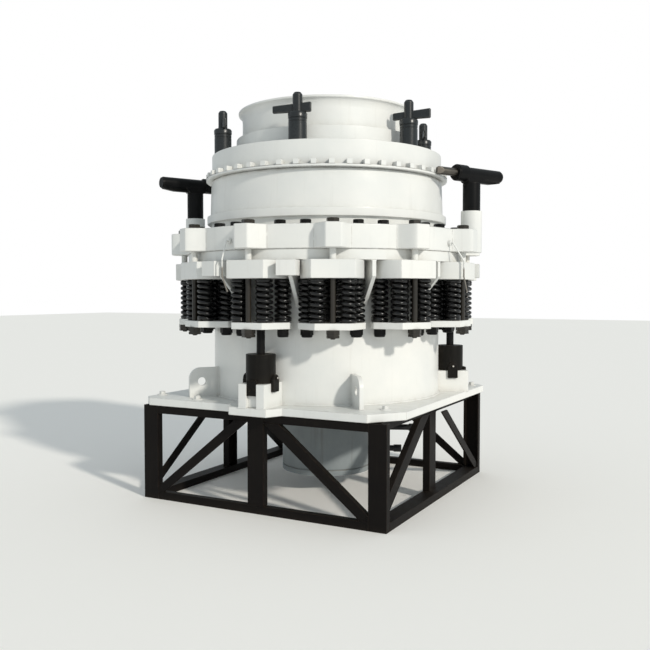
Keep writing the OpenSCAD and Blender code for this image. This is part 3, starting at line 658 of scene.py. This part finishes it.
pin_steel = enamel(
    "pin_steel", (0.55, 0.53, 0.50, 1), (0.42, 0.40, 0.37, 1), (0.12, 0.10, 0.08, 1),
    (0.6, 0.58, 0.55, 1), 0.30, corners=0.3, dust=0.1, runs=0.0, rub=0.3, size=30.0,
    fine=500.0, coarse=80.0, share=0.3, height=0.0003)
JACK_R, PIN_Z, PIN_IN, PIN_OUT = 0.956, 0.921, 0.127, 0.132
strap_pin = bmesh.new()
lathe(strap_pin, [(0, PIN_IN), (0.0065, PIN_IN), (0.0065, PIN_OUT - 0.0015), (0.005, PIN_OUT),
                  (0, PIN_OUT)], 20)
strap_pin.transform(Matrix.Translation((0, 0, PIN_Z)) @ Matrix.Rotation(math.radians(90), 4, "X"))
copied("strap_pins", strap_pin,
       [round_axis(jack, JACK_R, 0, math.radians(jack + turn))
        for jack in JACKS for turn in (-90, 90)],
       pin_steel, "frame")

# -------------------------------------------------------------- springs
# Coil springs wound from round bar, their end turns closed and flat,
# dipped in glossy black enamel and set between the plates. They
# shorten from below when the adjusting ring is lifted; here they are
# fixed meshes on the frame.

LOW_Z, SEGMENT_Z = span("front_springs", Z)
SPRING_R, WIRE, COIL_TURNS = 0.058, 0.0265, 8.8


def coil_tree():
    """A coil spring at each point: a helix whose end turns lie flat, swept with round bar."""
    tree, given, out = node_tree("coil_springs", [
        ("NodeSocketFloat", "Radius", 0.04), ("NodeSocketFloat", "Bar", 0.02),
        ("NodeSocketFloat", "Height", 0.2), ("NodeSocketFloat", "Turns", 8.0),
        ("NodeSocketMaterial", "Material", None)])
    helix = add(tree, "GeometryNodeCurveSpiral", {"Resolution": 24},
                {"Rotations": given.outputs["Turns"], "Start Radius": given.outputs["Radius"],
                 "End Radius": given.outputs["Radius"], "Height": given.outputs["Height"]})
    along = add(tree, "GeometryNodeSplineParameter")
    dead = add(tree, "ShaderNodeMath", {0: 0.8}, {1: given.outputs["Turns"]}, operation="DIVIDE")
    rest = add(tree, "ShaderNodeMath", {0: 1.0}, {1: dead.outputs[0]}, operation="SUBTRACT")
    low = add(tree, "ShaderNodeMath", {1: 0.5}, {0: given.outputs["Bar"]}, operation="MULTIPLY")
    high = add(tree, "ShaderNodeMath", {}, {0: given.outputs["Height"], 1: low.outputs[0]},
               operation="SUBTRACT")
    rise = add(tree, "ShaderNodeMapRange", {},
               {"Value": along.outputs["Factor"], "From Min": dead.outputs[0],
                "From Max": rest.outputs[0], "To Min": low.outputs[0], "To Max": high.outputs[0]})
    here = add(tree, "GeometryNodeInputPosition")
    split = add(tree, "ShaderNodeSeparateXYZ", {}, {"Vector": here.outputs[0]})
    lifted = add(tree, "ShaderNodeCombineXYZ", {},
                 {"X": split.outputs["X"], "Y": split.outputs["Y"], "Z": rise.outputs[0]})
    shaped = add(tree, "GeometryNodeSetPosition", {},
                 {"Geometry": helix.outputs[0], "Position": lifted.outputs[0]})
    bar = add(tree, "GeometryNodeCurvePrimitiveCircle", {"Resolution": 10},
              {"Radius": low.outputs[0]}, mode="RADIUS")
    swept = add(tree, "GeometryNodeCurveToMesh", {"Fill Caps": True},
                {"Curve": shaped.outputs[0], "Profile Curve": bar.outputs["Curve"]})
    turn = add(tree, "GeometryNodeInputNamedAttribute", {"Name": "turn"}, data_type="FLOAT")
    angle = add(tree, "ShaderNodeCombineXYZ", {}, {"Z": turn.outputs[0]})
    copies = add(tree, "GeometryNodeInstanceOnPoints", {},
                 {"Points": given.outputs["Geometry"], "Instance": swept.outputs[0],
                  "Rotation": angle.outputs[0]})
    real = add(tree, "GeometryNodeRealizeInstances", {}, {"Geometry": copies.outputs[0]})
    smooth = add(tree, "GeometryNodeSetShadeSmooth", {"Shade Smooth": True},
                 {"Geometry": real.outputs[0]})
    coated = add(tree, "GeometryNodeSetMaterial", {},
                 {"Geometry": smooth.outputs[0], "Material": given.outputs["Material"]})
    tree.links.new(coated.outputs[0], out.inputs[0])
    return tree


spring_enamel = enamel(
    "spring_enamel", (0.0045, 0.0046, 0.005, 1), (0.007, 0.007, 0.007, 1), (0.04, 0.034, 0.028, 1),
    (0.05, 0.045, 0.04, 1), 0.20, corners=0.10, dust=0.08, runs=0.0, rub=0.0, size=10.0,
    fine=240.0, coarse=60.0, share=0.3, height=0.0006, coat=0.05, shine=0.42)
coil_springs = coil_tree()
JACK_GROUPS = (0, 120, 240)
FRONT_R, FRONT_SIDE, SIDE_R, SIDE = 1.045, 5.3, 0.930, 10
spring_rows = {
    "front_springs": [(g + s, FRONT_R) for g in GROUPS for s in (-FRONT_SIDE, FRONT_SIDE)],
    "side_springs": [(g + s, SIDE_R) for g in GROUPS for s in (-SIDE, SIDE)],
    "rear_springs": [(g, SIDE_R) for g in GROUPS if g not in JACK_GROUPS],
}
for row, places in spring_rows.items():
    springs = grown(
        row + "_piece", coil_springs,
        [round_axis(a, r, LOW_Z, 1.3 * i) for i, (a, r) in enumerate(places)],
        {"Radius": SPRING_R - WIRE / 2, "Bar": WIRE, "Height": SEGMENT_Z - LOW_Z,
         "Turns": COIL_TURNS, "Material": spring_enamel}, "frame")
    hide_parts(row)
    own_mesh(springs)

# ------------------------------------------------------- adjusting ring
# A heavy white ring casting with a lobe over each spring bolt.
# The lower plates of the spring groups take the same paint.

dressed("adjusting_ring", white_paint, 0.008, steps=3)
dressed("lower_spring_plates", white_paint, 0.004)

# ------------------------------------------------------ bolts and nuts
# A long spring bolt pulls each group's plate up towards the ring. A nut
# and a lock nut hold it below, and short guides stand in the side springs.


def threaded(radius, low, high, pitch=0.004):
    """The profile of a screw thread between two heights."""
    turns = max(1, int((high - low) / pitch))
    step = (high - low) / turns
    profile = []
    for i in range(turns):
        profile += [(radius - 0.002, low + i * step), (radius, low + (i + 0.5) * step)]
    return profile + [(radius - 0.002, high)]


greased_steel = enamel(
    "greased_steel", (0.024, 0.020, 0.015, 1), (0.015, 0.013, 0.010, 1), (0.07, 0.058, 0.042, 1),
    (0.10, 0.09, 0.08, 1), 0.30, corners=0.3, dust=0.1, runs=0.2, rub=0.5, size=9.0,
    fine=300.0, coarse=40.0, share=0.4, height=0.0008, shine=0.45)
BOLT_CIRCLE, TOP_CIRCLE = 1.080, 0.980
RING_TOP, PLATE_UNDER = span("adjusting_ring", Z)[1], span("lower_spring_plates", Z)[0]
BOLT_LOW, BOLT_TOP = span("spring_bolts", Z)
BOLT_R, BOLT_WASHER = 0.018, RING_TOP + 0.0045
spring_bolt = bmesh.new()
lathe(spring_bolt, [(0, BOLT_LOW), (0.014, BOLT_LOW)]
      + threaded(BOLT_R, BOLT_LOW + 0.003, PLATE_UNDER - 0.001)
      + [(BOLT_R, PLATE_UNDER + 0.001), (BOLT_R, BOLT_TOP - 0.002), (0.016, BOLT_TOP),
         (0, BOLT_TOP)], 24)
lathe(spring_bolt, [(BOLT_R, RING_TOP), (0.046, RING_TOP), (0.046, BOLT_WASHER),
                    (BOLT_R, BOLT_WASHER)], 32)
hex_head(spring_bolt, 0.086, BOLT_WASHER, BOLT_TOP)
copied("spring_bolts_piece", spring_bolt,
       [round_axis(g, BOLT_CIRCLE, 0, math.radians(g + 7 * (i % 3)))
        for i, g in enumerate(GROUPS)],
       greased_steel, "ring", "spring_bolts")

TOP_WASHER = RING_TOP + 0.0035
top_bolt = bmesh.new()
lathe(top_bolt, [(0, RING_TOP), (0.0385, RING_TOP), (0.0385, TOP_WASHER), (0, TOP_WASHER)], 32)
hex_head(top_bolt, 0.077, TOP_WASHER, BOLT_TOP)
copied("ring_top_bolts_piece", top_bolt,
       [round_axis(g + s, TOP_CIRCLE, 0, math.radians(g + 11 * s))
        for g in GROUPS for s in (-SIDE, SIDE)],
       black_paint, "ring", "ring_top_bolts")

NUT_LOW, LOCK_TOP, LOCK_LOW = PLATE_UNDER - 0.028, PLATE_UNDER - 0.032, PLATE_UNDER - 0.050
lower_nut = bmesh.new()
lathe(lower_nut, [(0, LOCK_TOP), (0.038, LOCK_TOP), (0.038, NUT_LOW), (0, NUT_LOW)], 32)
for corners, low, high in ((0.092, NUT_LOW, PLATE_UNDER), (0.090, LOCK_LOW, LOCK_TOP)):
    hex_head(lower_nut, corners, low, high, chamfer=0.0)
copied("lower_bolt_nuts_piece", lower_nut,
       [round_axis(g, BOLT_CIRCLE, 0, math.radians(g + 5 * i)) for i, g in enumerate(GROUPS)],
       greased_steel, "ring", "lower_bolt_nuts")

GUIDE_LOW, GUIDE_NUT, GUIDE_TOP = PLATE_UNDER - 0.054, PLATE_UNDER - 0.038, PLATE_UNDER + 0.186
guide = bmesh.new()
lathe(guide, [(0, GUIDE_LOW), (0.030, GUIDE_LOW), (0.036, GUIDE_LOW + 0.004),
              (0.037, GUIDE_LOW + 0.009), (0.037, GUIDE_NUT), (0, GUIDE_NUT)], 32)
hex_head(guide, 0.086, GUIDE_NUT, PLATE_UNDER, chamfer=0.0)
lathe(guide, [(0, PLATE_UNDER), (0.016, PLATE_UNDER), (0.016, GUIDE_TOP - 0.004),
              (0.012, GUIDE_TOP), (0, GUIDE_TOP)], 20)
copied("spring_guides_piece", guide,
       [round_axis(g + s, SIDE_R, 0, math.radians(g + 9 * s))
        for g in GROUPS for s in (-SIDE, SIDE)],
       black_paint, "ring", "spring_guides")

# ------------------------------------------------------------ adjusters
# A hydraulic cylinder on a post turns the bowl by its teeth, and the
# post stands in a white sleeve on the adjusting ring. Thin white pipes
# take grease to the ring; their lower ends are painted dark brown-grey,
# part grease and part painted shade.

dressed("adjuster_sleeves", white_paint, 0.003)
dressed("adjuster_posts", black_paint, 0.003)
dressed("adjuster_cylinders", black_paint, 0.003)
dressed("right_ram", bare_steel, 0.002)
dressed("left_ram", bare_steel, 0.002)

# Below this height the pipes turn dark brown-grey: grease, and painted shade on their lower run.
GREASE_SHADE_FROM, GREASE_SHADE_BELOW = 1.655, 1.635
grease_and_shade_paint = white_paint.copy()
grease_and_shade_paint.name = "grease_pipe_paint"
tree = grease_and_shade_paint.node_tree
tone = next(n for n in tree.nodes if n.type == "GROUP" and n.node_tree == paint_tone)
where = add(tree, "ShaderNodeTexCoord")
height = add(tree, "ShaderNodeSeparateXYZ", {}, {"Vector": where.outputs["Object"]})
low_end = add(tree, "ShaderNodeMapRange", {"From Min": GREASE_SHADE_FROM, "From Max": GREASE_SHADE_BELOW},
              {"Value": height.outputs["Z"]})
for label, lower in (("Tone A", (0.23, 0.215, 0.19, 1)), ("Tone B", (0.15, 0.135, 0.115, 1))):
    upper = tuple(tone.inputs[label].default_value)
    either = add(tree, "ShaderNodeMix", {"A": upper, "B": lower}, {0: low_end.outputs[0]},
                 data_type="RGBA")
    tree.links.new(either.outputs["Result"], tone.inputs[label])
dressed("grease_pipes", grease_and_shade_paint, 0.0006)

# ----------------------------------------------------------------- bowl
# The bowl screws into the adjusting ring, and the toothed flange is what
# the adjusters push. The cap on it carries the step ring and the hopper.

for node, width in (("bowl", 0.005), ("toothed_flange", 0.0025), ("bowl_cap", 0.005),
                    ("hopper_step", 0.005), ("hopper", 0.005)):
    dressed(node, white_paint, width)

# ----------------------------------------------------------- hook bolts
# Six bolts tie the hopper's cap to the bowl: a long sleeve with a ring nut,
# a plain stud with a turned end, and a flat wedge driven through it.

hook_paint = enamel(
    "hook_paint", (0.012, 0.0145, 0.016, 1), (0.018, 0.021, 0.023, 1), (0.06, 0.055, 0.045, 1),
    (0.12, 0.12, 0.115, 1), 0.28, corners=0.25, dust=0.1, runs=0.1, rub=0.6, size=8.0,
    fine=300.0, coarse=40.0, share=0.4, height=0.0010, shine=0.5)
CAP_TOP, SLEEVE_TOP = span("hook_bolt_sleeves", Z)
SLEEVE_R, SLEEVE_BORE, GROOVE_R, RING_NUT_R = 0.062, 0.033, 0.0595, 0.065
HOOK_FIRST, HOOK_STEP, HOOK_CIRCLE = 13.8, 60, 0.790
HOOKS = [round_axis(HOOK_FIRST + HOOK_STEP * i, HOOK_CIRCLE, 0) for i in range(6)]
sleeve = bmesh.new()
lathe(sleeve, [(SLEEVE_BORE, CAP_TOP), (SLEEVE_R - 0.002, CAP_TOP), (SLEEVE_R, CAP_TOP + 0.002),
               (SLEEVE_R, SLEEVE_TOP - 0.066), (GROOVE_R, SLEEVE_TOP - 0.064),
               (GROOVE_R, SLEEVE_TOP - 0.061), (SLEEVE_R, SLEEVE_TOP - 0.059),
               (SLEEVE_R, SLEEVE_TOP - 0.046), (GROOVE_R, SLEEVE_TOP - 0.044),
               (GROOVE_R, SLEEVE_TOP - 0.040), (RING_NUT_R - 0.001, SLEEVE_TOP - 0.038),
               (RING_NUT_R, SLEEVE_TOP - 0.010), (0.058, SLEEVE_TOP), (SLEEVE_BORE, SLEEVE_TOP),
               (SLEEVE_BORE, CAP_TOP)], 48)
copied("hook_bolt_sleeves_piece", sleeve, HOOKS, hook_paint, "bowl",
       "hook_bolt_sleeves")
dressed("hook_bolts", hook_paint, 0.003)
dressed("hook_wedges", hook_paint, 0.010, steps=3)

# --------------------------------------------------- floor, light, camera
# A plain pale floor and a soft white sky, with a broad warm sun low on
# the right. The camera looks a little down from the front right.

FLOOR_HALF = 40
floor_mesh = bpy.data.meshes.new("floor")
floor_mesh.from_pydata([(x * FLOOR_HALF, y * FLOOR_HALF, 0)
                        for x, y in ((-1, -1), (1, -1), (1, 1), (-1, 1))], [], [(0, 1, 2, 3)])
floor_paint = bpy.data.materials.new("floor_paint")
floor_paint.use_nodes = True
floor_shader = floor_paint.node_tree.nodes["Principled BSDF"]
floor_shader.inputs["Base Color"].default_value = (0.95, 0.93, 0.90, 1)
floor_shader.inputs["Roughness"].default_value = 0.9
floor_mesh.materials.append(floor_paint)
floor = bpy.data.objects.new("floor", floor_mesh)
bpy.context.scene.collection.objects.link(floor)

sky = bpy.data.worlds.new("sky")
sky.use_nodes = True
sky_light = sky.node_tree.nodes["Background"]
sky_light.inputs["Color"].default_value = (0.88, 0.96, 1.0, 1)
sky_light.inputs["Strength"].default_value = 0.58
white_card = add(sky.node_tree, "ShaderNodeBackground", {"Color": (1, 1, 1, 1), "Strength": 1.0})
seen = add(sky.node_tree, "ShaderNodeLightPath")
behind = add(sky.node_tree, "ShaderNodeMixShader", {},
             {0: seen.outputs["Is Camera Ray"], 1: sky_light.outputs[0],
              2: white_card.outputs[0]})
sky.node_tree.links.new(behind.outputs[0], sky.node_tree.nodes["World Output"].inputs["Surface"])
bpy.context.scene.world = sky

sun_light = bpy.data.lights.new("sun", "SUN")
sun_light.energy = 2.3
sun_light.angle = math.radians(4)
sun_light.color = (1.0, 0.95, 0.86)
SUNRAY = Vector((-0.826, 0.334, -0.454))
sun = bpy.data.objects.new("sun", sun_light)
sun.rotation_euler = SUNRAY.to_track_quat("-Z", "Y").to_euler()
bpy.context.scene.collection.objects.link(sun)

CAMERA_TURN, CAMERA_DOWN = math.radians(27.92), math.radians(2.315)
CAMERA_FAR, CAMERA_HIGH = 6.078, 1.477
camera_data = bpy.data.cameras.new("camera")
camera_data.lens = 43.9
camera_data.sensor_width = 36.0
camera_data.shift_x = -0.0025
camera = bpy.data.objects.new("camera", camera_data)
camera.location = (CAMERA_FAR * math.sin(CAMERA_TURN), -CAMERA_FAR * math.cos(CAMERA_TURN),
                   CAMERA_HIGH)
camera.rotation_euler = (math.pi / 2 - CAMERA_DOWN, 0, CAMERA_TURN)
bpy.context.scene.collection.objects.link(camera)
bpy.context.scene.camera = camera
bpy.context.scene.view_settings.view_transform = "Standard"
